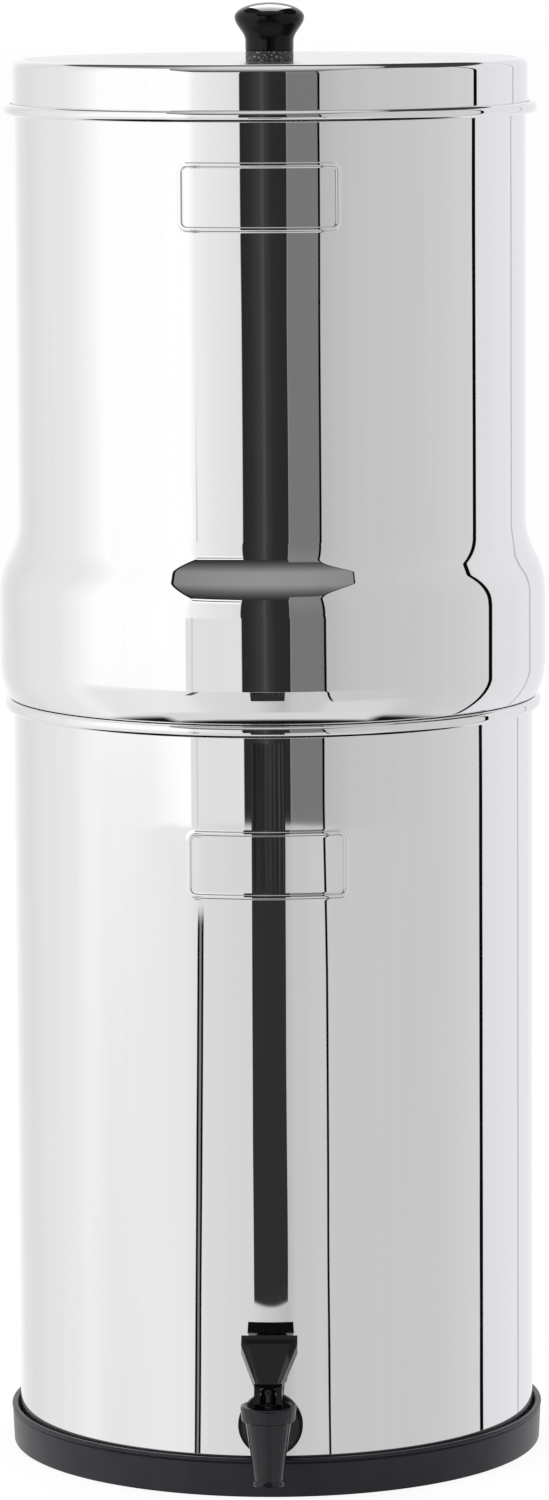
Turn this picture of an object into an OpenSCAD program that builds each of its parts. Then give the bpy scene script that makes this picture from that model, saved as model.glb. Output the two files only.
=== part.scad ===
// Gravity water filter: two stacked steel chambers, a lid and a self-closing tap.
// Millimetres. The origin is on the chambers' axis at the floor, +Z is up and the tap points to -Y.

/* [Base ring] */
// Height of the rubber ring
ring_h = 20.2; // [16:0.1:26]
// Height of the ledge that carries the lower chamber
ring_ledge_h = 8; // [5:0.5:10]
// Thickness of the wall round the chamber
ring_wall = 4.4; // [3:0.1:7]
// Width of the ledge under the chamber
ring_ledge_w = 9; // [7:0.5:14]
// How much narrower the ring is at the floor
ring_draft = 0.9; // [0:0.1:2]
// Width and depth of the fine groove under the top lip
ring_groove = 0.5; // [0.3:0.1:1]

/* [Lower chamber] */
// Outer radius of the lower chamber
lower_r = 136.75; // [130:0.25:145]
// Height of the lower chamber with its rolled rim
lower_h = 392; // [360:1:420]
// Thickness of the steel sheet
sheet = 0.75; // [0.6:0.05:1.2]
// Radius of the corner round the floors
floor_corner = 6; // [4:0.5:9]
// Width of the rolled rim
rim_w = 5.1; // [4.5:0.05:6.5]
// Height of the rolled rim
rim_h = 6.5; // [5.5:0.1:8]

/* [Upper chamber] */
// Height from the seat on the rim to the top edge
upper_h = 332; // [310:0.1:350]
// How deep the floor hangs inside the lower chamber
nest_depth = 12.3; // [9:0.1:16]
// Radial gap between the nesting floor and the lower wall
nest_gap = 0.95; // [0.5:0.05:2]
// Outer radius of the bulge
bulge_r = 143.6; // [142.5:0.1:146]
// Height of the rounded foot of the bulge
bulge_foot_h = 17.7; // [14:0.1:22]
// Height of the straight part of the bulge
bulge_h = 37; // [25:0.5:50]
// Radius of the rounds above and below the bulge
bulge_round = 38; // [34:0.5:44]
// Slope of the shoulder from upright, in degrees
shoulder_slope = 26; // [24:0.5:30]
// Radius of the hollow round between shoulder and neck
neck_round = 34; // [26:0.5:36]
// Outer radius of the neck
neck_r = 133.4; // [131:0.1:134]
// Width of the hem turned in at the top
hem_w = 4.4; // [4:0.1:6]

/* [Lid] */
// Thickness of the lid's sheet
lid_sheet = 0.6; // [0.5:0.1:1]
// Height of the lid's side
lid_h = 28.7; // [20:0.1:34]
// Radius of the round between top and side
lid_round = 4.6; // [3:0.1:4.8]
// How deep the top is dished inside its rounded edge
lid_dish = 1.3; // [0.5:0.1:2]
// Radius of the two soft rounds that lead down into the dish
dish_round = 60; // [30:1:90]
// Width of the rolled edge
lid_rim_w = 5.3; // [4.5:0.1:7]
// Height of the rolled edge
lid_rim_h = 6; // [5.5:0.1:8]

/* [Knob] */
// Height of the knob
knob_h = 25; // [22:0.5:30]
// Largest radius of the knob
knob_r = 18.2; // [15:0.1:22]
// Radius of the knob's neck
knob_neck_r = 12.6; // [10:0.1:14]
// Height of the straight neck
knob_neck_h = 5; // [3:0.5:7]
// Height of the domed top
knob_dome_h = 7.6; // [5:0.1:10]
// Height of the rubber washer under the knob
knob_washer_h = 5.1; // [3:0.1:7]
// Radius of the rubber washer under the knob
knob_washer_r = 12.5; // [10:0.1:13]
// Radius of the knob's screw
screw_r = 2.5; // [2:0.1:3.5]
// How far the screw reaches into the knob
screw_reach = 15; // [10:0.5:18]

/* [Plates] */
// Width of the raised frames on the chambers
plate_w = 84; // [60:0.5:100]
// Height of the raised frames
plate_h = 35; // [25:0.5:45]
// Width of the frames' raised line
plate_line = 2.6; // [1.5:0.1:4]
// How far the line stands out
plate_proud = 0.9; // [0.4:0.1:1.5]
// Outer corner radius of the frames
plate_corner = 5; // [4.5:0.1:8]
// Height of the lower frame's middle above the lower floor
lower_plate_up = 320; // [280:1:340]
// Height of the upper frame's middle above the seat
upper_plate_up = 266.7; // [200:0.1:280]
// Turn of the upper frame from straight ahead, in degrees
upper_plate_turn = -1.2; // [-10:0.1:10]

/* [Filters] */
// Radius of the circle that the outer holes lie on
hole_circle_r = 92; // [88:0.5:94]
// Radius of the filter elements
element_r = 34.5; // [30:0.5:36]
// Height of the filter elements
element_h = 215; // [180:1:240]
// Radius of the hollow core of an element
core_r = 9; // [6:0.5:14]
// Thickness of the element's closed top
element_top = 20; // [12:1:30]
// Height of the plastic base under an element
base_cap_h = 12; // [8:0.5:18]
// Radius of the threaded stems
stem_r = 5; // [4:0.1:6]
// Length of the filters' stems below their base
stem_len = 35; // [25:1:40]
// Radius of the water way through a stem
stem_bore_r = 2.4; // [1.5:0.1:3]
// Radius of the blocking plugs' heads
plug_r = 11; // [9:0.5:16]
// Height of the blocking plugs' heads
plug_h = 6; // [4:0.5:10]
// Length of the plugs' stems below their head
plug_stem_len = 20; // [16:1:30]
// Thickness of the rubber washers
washer_h = 2; // [1:0.1:3]
// Radius of the filters' rubber washers
washer_r = 12; // [9:0.5:16]
// Height of the wing nuts
wing_nut_h = 8; // [6:0.5:10]
// Radius of the wing nuts' hub
wing_hub_r = 8; // [7:0.1:10]
// Reach of the wings from the middle
wing_reach = 15; // [12:0.5:20]
// Thickness of the wings
wing_t = 2.4; // [1.5:0.1:4]

/* [Tap body] */
// Height of the tap's shank above the lower chamber's floor
tap_up = 29.7; // [28:0.1:60]
// Distance from the wall to the middle of the spout
spout_reach = 45.25; // [40:0.25:60]
// Depth of the spout's tip below the shank
tip_drop = 20.5; // [16:0.5:26]
// Radius of the spout at the lip of its tip
tip_r = 8.4; // [7.6:0.1:9]
// Radius of the spout just above the lip
tip_neck_r = 7.4; // [7:0.1:7.5]
// Height of the lip round the tip
tip_lip = 1.3; // [0.8:0.1:2]
// Radius of the spout under the shank
spout_mid_r = 9.2; // [8.8:0.1:9.5]
// Radius of the body under the bonnet
body_r = 11.75; // [11.5:0.05:13]
// Height from the shank to the bonnet's lower edge
bonnet_up = 12.9; // [11:0.1:16]
// Radius of the water way down the spout
spout_bore_r = 3.9; // [3:0.1:4.5]
// Radius of the water way through the shank
inlet_r = 3.2; // [2.5:0.1:3.2]
// Radius of the threaded shank
shank_r = 8; // [7:0.1:8.5]
// Radius of the flange on the wall
flange_r = 14.75; // [13:0.25:16]
// Thickness of the flange
flange_t = 3; // [2:0.1:5]
// Radius of the gasket outside the wall
outer_gasket_r = 16.65; // [15:0.05:17]
// Thickness of the gaskets at their middle
gasket_t = 2.2; // [1.8:0.1:3]
// Radius of the gasket inside the wall
inner_gasket_r = 14.5; // [12:0.5:15]
// Width of the nut across its flats
nut_flats = 25; // [22:0.5:27]
// Thickness of the nut
nut_t = 7; // [5:0.5:10]

/* [Bonnet, stem and seat] */
// Largest radius of the bonnet
bonnet_r = 14.3; // [13.5:0.1:16]
// How much narrower the bonnet is at its lower edge
bonnet_draft = 0.7; // [0:0.1:1]
// Height of the bonnet
bonnet_h = 7.8; // [7:0.1:10]
// Thickness of the bonnet's top
bonnet_top = 2.1; // [1.6:0.1:3]
// Bevel round the bonnet's top
bonnet_bevel = 1.2; // [0.5:0.1:1.5]
// Radius of the threaded collar inside the bonnet
collar_r = 11.2; // [11:0.1:11.4]
// Radius of the tap's stem
tap_stem_r = 3.8; // [3:0.1:4]
// Height of the pivot pin above the bonnet
pin_up = 5.6; // [5:0.1:7]
// Radius of the pivot pin
pin_r = 1.5; // [1:0.1:2]
// Height of the seat above the shank's middle
seat_up = 3.3; // [3.2:0.1:4]
// Radius of the soft plug on the seat
seat_plug_r = 5; // [4.8:0.1:5.5]
// Wall of the soft bell above the plug
bell_wall = 1.2; // [0.8:0.1:1.6]

/* [Handle] */
// Tilt of the handle that opens the tap fully, in degrees
handle_travel = 45; // [20:1:50]
// Lift of the stem over the handle's whole travel
stem_lift = 4; // [2:0.1:4]
// Width of the handle's broad end
handle_w = 28.7; // [20:0.1:34]
// Width of the handle at its foot
handle_foot_w = 12.6; // [12:0.1:16]
// Length of the handle's plate
handle_len = 38.2; // [30:0.1:45]
// Length of the straight sides at the broad end
handle_end_len = 7.5; // [4:0.1:10]
// Thickness of the handle's plate
handle_t = 5.9; // [5:0.1:7]
// Slope of the plate above level, in degrees
handle_slope = 27.7; // [22:0.1:40]
// Width of the raised edges beside the panel
handle_edge = 3.2; // [2:0.1:4]
// Depth of the sunk panel
handle_panel = 1.2; // [0.5:0.1:2]
// Thickness of each leg of the fork
leg_t = 3; // [2:0.1:4]

/* [Fits] */
// Gap between a loose piece and what carries it
seat_gap = 0.3; // [0.1:0.05:0.5]
// Gap between pieces that are fixed together
fit_gap = 0.05; // [0.02:0.01:0.1]
// Gap on each side between the neck and the lid
lid_gap = 0.5; // [0.2:0.05:0.8]
// Gap on each side between the fork and the stem
fork_gap = 0.25; // [0.2:0.05:0.5]

/* [Hidden] */

steel = "#c9c9cb";
black = "#2b2b2f";
rubber = "#3a3a3d";
carbon = "#1d1d1f";
nylon = "#e6e4dc";
silicone = "#b9bcc0";
$fn = 96;

// Heights of the stack, from the floor up
lower_z = ring_ledge_h;
lower_top = lower_z + lower_h;
seat_z = lower_top + seat_gap;
upper_floor_z = seat_z - nest_depth;
inner_floor_z = upper_floor_z + sheet;
upper_top = seat_z + upper_h;
lid_top = upper_top + seat_gap + lid_sheet;
lid_middle_z = lid_top - lid_dish;
knob_z = lid_middle_z + knob_washer_h;
screw_washer_h = 1.2;
screw_head_h = 2.6;
screw_seat_z = lid_middle_z - lid_sheet - screw_washer_h - 2 * fit_gap;

// Radii that follow from a neighbour
ring_in_r = lower_r + fit_gap;
ring_out_r = ring_in_r + ring_wall;
nest_r = lower_r - sheet - nest_gap;
lid_r = neck_r + lid_gap + lid_sheet;

// Floor holes of the upper chamber: one in the middle and seven round it
ring_holes = 7;
filter_holes = [1, 3, 4, 6];
plug_holes = [0, 2, 5];
hole_r = stem_r + 0.5;
function ring_spot(i) = hole_circle_r * [sin(i * 360 / ring_holes), -cos(i * 360 / ring_holes)];
filter_spots = [for (i = filter_holes) ring_spot(i)];
plug_spots = concat([[0, 0]], [for (i = plug_holes) ring_spot(i)]);

// The tap: its shank lies along Y, and its stem stands on the spout's axis
tap_z = lower_z + tap_up;
spout_y = -(lower_r + spout_reach);
tip_z = tap_z - tip_drop;
bonnet_z = tap_z + bonnet_up;
bonnet_top_z = bonnet_z + bonnet_h;
bonnet_roof_z = bonnet_top_z - bonnet_top;
valve_seat_z = tap_z + seat_up;
pin_z = bonnet_top_z + pin_up;
stem_top_up = 4;
stem_guide_h = 4;
stem_foot_r = tap_stem_r - 1.2;
seat_plug_h = 4;
bell_floor = 0.4;
seat_land = 1.3;
seat_land_r = spout_bore_r + seat_land;
body_wall = 1.8;
cavity_foot_r = spout_mid_r - body_wall;
sump_h = 0.3;
cavity_z = tap_z - inlet_r - sump_h;
inlet_gap = 0.9;
cavity_r = collar_r - body_wall;
cavity_cone_h = 3;
flange_y = -(lower_r + gasket_t);
inner_wall_r = lower_r - sheet;
nut_y = -(inner_wall_r - gasket_t);
shank_spare = 3;
shank_end_y = nut_y + nut_t + shank_spare;
lift_per_degree = stem_lift / handle_travel;
lift_per_radian = lift_per_degree * 180 / PI;

// ---- Outlines ----

// Points on an arc about c, from angle a0 to angle a1
function arc(c, r, a0, a1, n = 8) =
    [for (i = [0:n]) let (a = a0 + (a1 - a0) * i / n) c + r * [cos(a), sin(a)]];

function unit(v) = v / norm(v);
function left_of(v) = [-v[1], v[0]];

// The path moved by t to its left
function beside(path, t) = [
    for (i = [0:len(path) - 1])
        let (
            last = len(path) - 1,
            before = unit(path[max(i, 1)] - path[max(i, 1) - 1]),
            after = unit(path[min(i, last - 1) + 1] - path[min(i, last - 1)]),
            way = unit(left_of(before) + left_of(after))
        ) path[i] + way * t / (way * left_of(before))
];

function backwards(list) = [for (i = [len(list) - 1:-1:0]) list[i]];
function from_second(list) = [for (i = [1:len(list) - 1]) list[i]];

// Sheet of thickness t to the left of a path, or to its right where t is negative
module sheet_outline(path, t) polygon(concat(path, backwards(beside(path, t))));

// Rolled edge of width w and height h on a wall of radius r: up is 1 for a rim that
// curls over outwards at the top of the wall, and -1 for one at the foot of a skirt
function rolled_edge(r, end_z, w, h, t, up) =
    let (
        outer = w / 2,
        inner = outer - t,
        straight = h - w,
        near = end_z - up * outer,
        far = near - up * straight,
        close = acos(-(inner - fit_gap * 4) / outer)
    ) concat(
        arc([r + inner, near], inner, 180, up > 0 ? 0 : 360, 16),
        arc([r + inner, far], inner, 0, -up * close, 12)
    );

module rounded_frame(w, h, r) {
    square([w - 2 * r, h], center = true);
    square([w, h - 2 * r], center = true);
    for (x = [-1, 1], z = [-1, 1])
        translate([x * (w / 2 - r), z * (h / 2 - r)]) circle(r);
}

// Raised line round a bare plate on a wall of radius r, pressed out of the wall
module plate_frame(r, z, turn) {
    rotate([0, 0, turn]) intersection() {
        translate([0, 0, z]) rotate([90, 0, 0]) linear_extrude(r + 2 * plate_proud)
            difference() {
                rounded_frame(plate_w, plate_h, plate_corner);
                rounded_frame(plate_w - 2 * plate_line, plate_h - 2 * plate_line,
                    plate_corner - plate_line);
            }
        translate([0, 0, z - plate_h]) difference() {
            cylinder(r = r + plate_proud, h = 2 * plate_h);
            translate([0, 0, -1]) cylinder(r = r - sheet / 2, h = 2 * plate_h + 2);
        }
    }
}

// ---- Stand and lower chamber ----

module base_ring() color(rubber) rotate_extrude($fn = 180) {
    lip_h = 1.7;
    lip_round = 0.6;
    lip_proud = 0.2;
    groove_z = ring_h - lip_h;
    polygon(concat(
        [[ring_out_r - ring_draft, 0]],
        [[ring_out_r - lip_proud, groove_z - ring_groove]],
        [[ring_out_r - ring_groove, groove_z - ring_groove / 2]],
        [[ring_out_r, groove_z]],
        arc([ring_out_r + lip_proud - lip_round, ring_h - lip_round], lip_round, 0, 90, 4),
        [[ring_in_r, ring_h], [ring_in_r, ring_ledge_h]],
        [[ring_in_r - ring_ledge_w, ring_ledge_h], [ring_in_r - ring_ledge_w, 0]]
    ));
}

module lower_chamber() color(steel) {
    curl_z = lower_top - rim_w / 2;
    path = concat(
        [[0, lower_z]],
        arc([lower_r - floor_corner, lower_z + floor_corner], floor_corner, -90, 0, 6),
        rolled_edge(lower_r, lower_top, rim_w, rim_h, sheet, 1)
    );
    difference() {
        union() {
            rotate_extrude($fn = 180) sheet_outline(path, sheet);
            plate_frame(lower_r, lower_z + lower_plate_up, 0);
        }
        translate([0, -lower_r + 10, tap_z]) rotate([90, 0, 0])
            cylinder(r = shank_r + fit_gap, h = 20);
    }
}

// ---- Tap ----

module tap_body() color(black) difference() {
    union() {
        translate([0, spout_y, 0]) rotate_extrude() polygon([
            [0, tip_z],
            [tip_r, tip_z], [tip_r, tip_z + tip_lip / 2],
            [tip_neck_r, tip_z + 2 * tip_lip],
            [spout_mid_r, tap_z - inlet_r - seat_land],
            [body_r, bonnet_z - fit_gap],
            [collar_r, bonnet_z - fit_gap],
            [collar_r, bonnet_roof_z - fit_gap],
            [0, bonnet_roof_z - fit_gap]
        ]);
        translate([0, shank_end_y, tap_z]) rotate([90, 0, 0])
            cylinder(r = shank_r, h = shank_end_y - spout_y);
        translate([0, flange_y - fit_gap, tap_z]) rotate([90, 0, 0])
            cylinder(r = flange_r, h = flange_t);
    }
    translate([0, spout_y, 0]) rotate_extrude() polygon([
        [0, valve_seat_z],
        [seat_land_r, valve_seat_z],
        [seat_land_r, cavity_z],
        [cavity_foot_r, cavity_z],
        [cavity_r, bonnet_z - cavity_cone_h],
        [cavity_r, bonnet_roof_z + 1],
        [0, bonnet_roof_z + 1]
    ]);
    translate([0, spout_y, tip_z - 1]) cylinder(r = spout_bore_r, h = valve_seat_z - tip_z + 2);
    translate([0, shank_end_y + 1, tap_z]) rotate([90, 0, 0])
        cylinder(r = inlet_r, h = shank_end_y + 1 - spout_y - seat_land_r - inlet_gap);
}

module tap_outer_gasket() color(rubber) difference() {
    translate([0, -lower_r + 3, tap_z]) rotate([90, 0, 0])
        cylinder(r = outer_gasket_r, h = gasket_t + 3);
    translate([0, 0, tap_z - outer_gasket_r - 1])
        cylinder(r = lower_r + fit_gap, h = 2 * outer_gasket_r + 2, $fn = 180);
    shank_hole();
}

module tap_inner_gasket() color(rubber) difference() {
    intersection() {
        translate([0, nut_y, tap_z]) rotate([90, 0, 0])
            cylinder(r = inner_gasket_r, h = gasket_t + 3);
        translate([0, 0, tap_z - inner_gasket_r - 1])
            cylinder(r = inner_wall_r - fit_gap, h = 2 * inner_gasket_r + 2, $fn = 180);
    }
    shank_hole();
}

module tap_nut() color(nylon) difference() {
    translate([0, nut_y + nut_t + fit_gap, tap_z]) rotate([90, 0, 0])
        cylinder(d = nut_flats / cos(30), h = nut_t, $fn = 6);
    shank_hole();
}

module shank_hole() translate([0, shank_end_y + 5, tap_z]) rotate([90, 0, 0])
    cylinder(r = shank_r + fit_gap, h = 40);

module tap_bonnet() color(black) translate([0, spout_y, 0]) rotate_extrude() polygon([
    [collar_r + fit_gap, bonnet_z],
    [bonnet_r - bonnet_draft, bonnet_z],
    [bonnet_r, bonnet_top_z - bonnet_bevel],
    [bonnet_r - bonnet_bevel, bonnet_top_z],
    [tap_stem_r + fit_gap, bonnet_top_z],
    [tap_stem_r + fit_gap, bonnet_roof_z],
    [collar_r + fit_gap, bonnet_roof_z]
]);

// Soft plug on the valve seat, with a bell that is squeezed as the stem lifts it
module tap_seat_cup() color(silicone) translate([0, spout_y, 0]) {
    plug_top = valve_seat_z + seat_plug_h;
    plug_bevel = 0.4;
    bell_rim_h = 2;
    rim_z = bonnet_roof_z - bell_rim_h;
    bell_r = cavity_r - 2 * fit_gap;
    rotate_extrude() polygon([
        [0, valve_seat_z + fit_gap],
        [seat_plug_r, valve_seat_z + fit_gap],
        [seat_plug_r, plug_top - 2 * plug_bevel],
        [seat_plug_r - plug_bevel, plug_top],
        [bell_r, rim_z],
        [bell_r, bonnet_roof_z - 2 * fit_gap],
        [bell_r - bell_wall, bonnet_roof_z - 2 * fit_gap],
        [bell_r - bell_wall, rim_z],
        [stem_foot_r + plug_bevel, plug_top + bell_floor],
        [0, plug_top + bell_floor]
    ]);
}

module tap_stem() color(black) difference() {
    translate([0, spout_y, 0]) {
        foot_z = valve_seat_z + seat_plug_h + bell_floor + 2 * fit_gap;
        guide_z = bonnet_roof_z - stem_guide_h;
        round_z = pin_z + stem_top_up - tap_stem_r;
        translate([0, 0, foot_z]) cylinder(r = stem_foot_r, h = guide_z + 1 - foot_z);
        translate([0, 0, guide_z]) cylinder(r = tap_stem_r, h = round_z - guide_z);
        translate([0, 0, round_z]) sphere(r = tap_stem_r);
    }
    pin_hole();
}

module tap_pin() color(steel) {
    inset = 0.5;
    length = 2 * (tap_stem_r + fork_gap + leg_t - inset);
    translate([-length / 2, spout_y, pin_z]) rotate([0, 90, 0]) cylinder(r = pin_r, h = length);
}

module pin_hole() translate([-handle_w, spout_y, pin_z]) rotate([0, 90, 0])
    cylinder(r = pin_r + fit_gap, h = 2 * handle_w);

// ---- Handle: a sloping plate on a fork whose feet ride on the bonnet ----

// Lowest point of a foot at each tilt, so that the feet lift the pin evenly
function foot_point(tilt) =
    let (reach = pin_up - seat_gap + lift_per_degree * tilt)
        reach * [-sin(tilt), -cos(tilt)] + lift_per_radian * [-cos(tilt), sin(tilt)];

module tap_handle() color(black) translate([0, spout_y, pin_z]) {
    foot = [for (i = [0:9]) foot_point(handle_travel * i / 9)];
    plate_y = -4;
    plate_z = 6;
    fork_in = tap_stem_r + fork_gap;
    root_gap = 0.8;
    heel_y = 4.5;
    heel_bevel = 2;
    heel = [[heel_y, foot[0][1]], [heel_y + heel_bevel, foot[0][1] + heel_bevel]];
    leg_top = [[heel_y + heel_bevel, 5.4], [-2, 5.8], [-4.3, 4.6]];
    difference() {
        union() {
            translate([0, plate_y, plate_z]) rotate([handle_slope, 0, 0]) handle_plate();
            for (side = [0, 1]) mirror([side, 0, 0])
                translate([fork_in, 0, 0]) rotate([90, 0, 90]) linear_extrude(leg_t)
                    polygon(concat(backwards(foot), heel, leg_top));
        }
        rotate([0, 90, 0]) cylinder(r = stem_top_up + root_gap, h = 2 * fork_in, center = true);
        translate([-fork_in, -handle_len, -handle_len]) cube([2 * fork_in, 2 * handle_len, handle_len]);
        translate([0, -spout_y, -pin_z]) pin_hole();
    }
}

// The plate lies along Y from its foot, with its upper face at z = 0
module handle_plate() {
    taper = handle_len - handle_end_len;
    foot_edge = 1.5;
    end_edge = 1.4 * handle_edge;
    difference() {
        translate([0, 0, -handle_t]) linear_extrude(handle_t) plate_outline(0, taper);
        translate([0, 0, -handle_panel]) linear_extrude(handle_t) intersection() {
            plate_outline(handle_edge, taper);
            translate([-handle_w, foot_edge])
                square([2 * handle_w, handle_len - foot_edge - end_edge]);
        }
    }
}

// Outline of the plate, inset at its sides; the raised edges narrow towards the foot
module plate_outline(inset, taper) {
    foot_inset = 0.45 * inset;
    foot_w = handle_foot_w / 2 - foot_inset;
    end_w = handle_w / 2 - inset;
    polygon([[-foot_w, 0], [foot_w, 0], [end_w, taper], [end_w, handle_len],
        [-end_w, handle_len], [-end_w, taper]]);
}

// ---- Upper chamber ----

module upper_chamber() color(steel) {
    seat_corner = 1.2;
    ledge_corner = 0.9;
    hem_round = max(lid_round - lid_sheet - seat_gap, sheet + fit_gap);
    bulge_c = bulge_r - bulge_round;
    foot_z = seat_z + bulge_foot_h;
    foot_a = asin((bulge_foot_h - ledge_corner) / (bulge_round - ledge_corner));
    shoulder_z = foot_z + bulge_h;
    turn_in = (bulge_round + neck_round) * (1 - cos(shoulder_slope));
    slope_len = (bulge_r - neck_r - turn_in) / sin(shoulder_slope);
    neck_z = shoulder_z + (bulge_round + neck_round) * sin(shoulder_slope)
        + slope_len * cos(shoulder_slope);
    path = concat(
        [[0, upper_floor_z]],
        arc([nest_r - floor_corner, upper_floor_z + floor_corner], floor_corner, -90, 0, 6),
        arc([nest_r + seat_corner, seat_z - seat_corner], seat_corner, 180, 90, 4),
        arc([bulge_c + (bulge_round - ledge_corner) * cos(foot_a), seat_z + ledge_corner],
            ledge_corner, -90, -foot_a, 4),
        from_second(arc([bulge_c, foot_z], bulge_round, -foot_a, 0, 10)),
        arc([bulge_c, shoulder_z], bulge_round, 0, shoulder_slope, 9),
        arc([neck_r + neck_round, neck_z], neck_round, 180 + shoulder_slope, 180, 9),
        arc([neck_r - hem_round, upper_top - hem_round], hem_round, 0, 90, 4),
        [[neck_r - hem_w, upper_top]]
    );
    difference() {
        union() {
            rotate_extrude($fn = 180) sheet_outline(path, sheet);
            plate_frame(neck_r, seat_z + upper_plate_up, upper_plate_turn);
        }
        for (p = concat(filter_spots, plug_spots))
            translate([p[0], p[1], upper_floor_z - 1]) cylinder(r = hole_r, h = sheet + 2);
    }
}

// ---- Filters and plugs in the upper chamber's floor ----

module filter_element(i) color(carbon) at_filter(i, base_top_z()) difference() {
    edge = 4;
    rotate_extrude() polygon(concat(
        [[0, 0], [element_r, 0]],
        arc([element_r - edge, element_h - edge], edge, 0, 90, 6),
        [[0, element_h]]
    ));
    translate([0, 0, -1]) cylinder(r = core_r, h = element_h - element_top + 1);
}

function base_top_z() = inner_floor_z + washer_h + 2 * fit_gap + base_cap_h;

module at_filter(i, z) translate([filter_spots[i - 1][0], filter_spots[i - 1][1], z]) children();

module filter_base(i) color(black) at_filter(i, inner_floor_z + washer_h + fit_gap) difference() {
    union() {
        cylinder(r = element_r + 0.5, h = base_cap_h);
        translate([0, 0, -stem_len]) cylinder(r = stem_r, h = stem_len + 1);
    }
    translate([0, 0, -stem_len - 1]) cylinder(r = stem_bore_r, h = stem_len + base_cap_h + 2);
}

module floor_washer(p) translate([p[0], p[1], inner_floor_z]) difference() {
    cylinder(r = washer_r, h = washer_h);
    translate([0, 0, -1]) cylinder(r = stem_r + fit_gap, h = washer_h + 2);
}

module wing_nut(p) translate([p[0], p[1], upper_floor_z - fit_gap - wing_nut_h]) difference() {
    union() {
        cylinder(r = wing_hub_r, h = wing_nut_h);
        intersection() {
            translate([-wing_reach, -wing_t / 2, 0]) cube([2 * wing_reach, wing_t, wing_nut_h]);
            for (x = [-1, 1]) translate([x * (wing_reach - wing_nut_h / 2), 0, wing_nut_h / 2]) {
                rotate([90, 0, 0]) cylinder(r = wing_nut_h / 2, h = wing_t, center = true);
                translate([-x * wing_reach / 2, 0, 0])
                    cube([wing_reach, wing_t, wing_nut_h], center = true);
            }
        }
    }
    translate([0, 0, -1]) cylinder(r = stem_r + fit_gap, h = wing_nut_h + 2);
}

module filter_washers() color(rubber) for (p = filter_spots) floor_washer(p);

module filter_wing_nuts() color(nylon) for (p = filter_spots) wing_nut(p);

module blocking_plugs() color(black) for (p = plug_spots)
    translate([p[0], p[1], inner_floor_z + washer_h + fit_gap]) {
        cylinder(r = plug_r, h = plug_h);
        translate([0, 0, -plug_stem_len]) cylinder(r = stem_r, h = plug_stem_len + 1);
    }

module plug_washers() color(rubber) for (p = plug_spots) floor_washer(p);

module plug_wing_nuts() color(nylon) for (p = plug_spots) wing_nut(p);

// ---- Lid and knob ----

module lid() color(steel) {
    foot_z = lid_top - lid_h;
    crest_r = lid_r - lid_round;
    dish_turn = acos(1 - lid_dish / 2 / dish_round);
    dish_r = crest_r - 2 * dish_round * sin(dish_turn);
    path = concat(
        [[0, lid_middle_z]],
        arc([dish_r, lid_middle_z + dish_round], dish_round, -90, -90 + dish_turn, 3),
        from_second(arc([crest_r, lid_top - dish_round], dish_round, 90 + dish_turn, 90, 3)),
        from_second(arc([crest_r, lid_top - lid_round], lid_round, 90, 0, 6)),
        rolled_edge(lid_r, foot_z, lid_rim_w, lid_rim_h, lid_sheet, -1)
    );
    difference() {
        rotate_extrude($fn = 180) sheet_outline(path, -lid_sheet);
        translate([0, 0, lid_middle_z - lid_sheet - 1])
            cylinder(r = screw_r + fit_gap, h = lid_sheet + 2);
    }
}

module lid_knob() color(black) {
    dome_z = knob_z + knob_h - knob_dome_h;
    flare_z = knob_z + knob_neck_h;
    difference() {
        rotate_extrude() polygon(concat(
            [[0, knob_z + fit_gap], [knob_neck_r, knob_z + fit_gap]],
            [for (i = [0:12]) [
                knob_neck_r + (knob_r - knob_neck_r) * (1 - cos(i * 15)) / 2,
                flare_z + (dome_z - flare_z) * i / 12
            ]],
            [for (i = [1:12]) [knob_r * cos(i * 7.5), dome_z + knob_dome_h * sin(i * 7.5)]]
        ));
        translate([0, 0, knob_z - 1]) cylinder(r = screw_r + fit_gap, h = screw_reach + 2);
    }
}

module knob_washer() color(rubber) difference() {
    translate([0, 0, lid_middle_z]) cylinder(r = knob_washer_r, h = knob_washer_h);
    translate([0, 0, lid_middle_z - 1]) cylinder(r = screw_r + fit_gap, h = knob_washer_h + 2);
}

module knob_screw() color(steel) {
    translate([0, 0, screw_seat_z]) cylinder(r = screw_r, h = knob_z + screw_reach - screw_seat_z);
    translate([0, 0, screw_seat_z - screw_head_h]) difference() {
        cylinder(r = 2 * screw_r, h = screw_head_h);
        translate([0, 0, -1]) cylinder(r = screw_r, h = screw_head_h, $fn = 6);
    }
}

module screw_washer() color(steel) translate([0, 0, screw_seat_z + fit_gap]) difference() {
    cylinder(r = 3 * screw_r, h = screw_washer_h);
    translate([0, 0, -1]) cylinder(r = screw_r + fit_gap, h = screw_washer_h + 2);
}

base_ring();
lower_chamber();
tap_body();
tap_outer_gasket();
tap_inner_gasket();
tap_nut();
tap_bonnet();
tap_seat_cup();
tap_stem();
tap_pin();
tap_handle();
upper_chamber();
filter_element(1);  // filter_element_1
filter_element(2);  // filter_element_2
filter_element(3);  // filter_element_3
filter_element(4);  // filter_element_4
filter_base(1);  // filter_base_1
filter_base(2);  // filter_base_2
filter_base(3);  // filter_base_3
filter_base(4);  // filter_base_4
filter_washers();
filter_wing_nuts();
blocking_plugs();
plug_washers();
plug_wing_nuts();
lid();
lid_knob();
knob_washer();
knob_screw();
screw_washer();
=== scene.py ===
"""Gravity water filter: two stacked polished steel chambers, a knobbed lid and a self-closing tap.

Metres in the finished meshes, in the frame's own axes: the origin is on the chambers' axis at the
floor, +Z is up and the tap points to -Y. Outlines are written in millimetres and scaled once.
"""

from math import acos, asin, cos, degrees, pi, radians, sin

import bmesh
import bpy
from mathutils import Matrix, Vector


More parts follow.
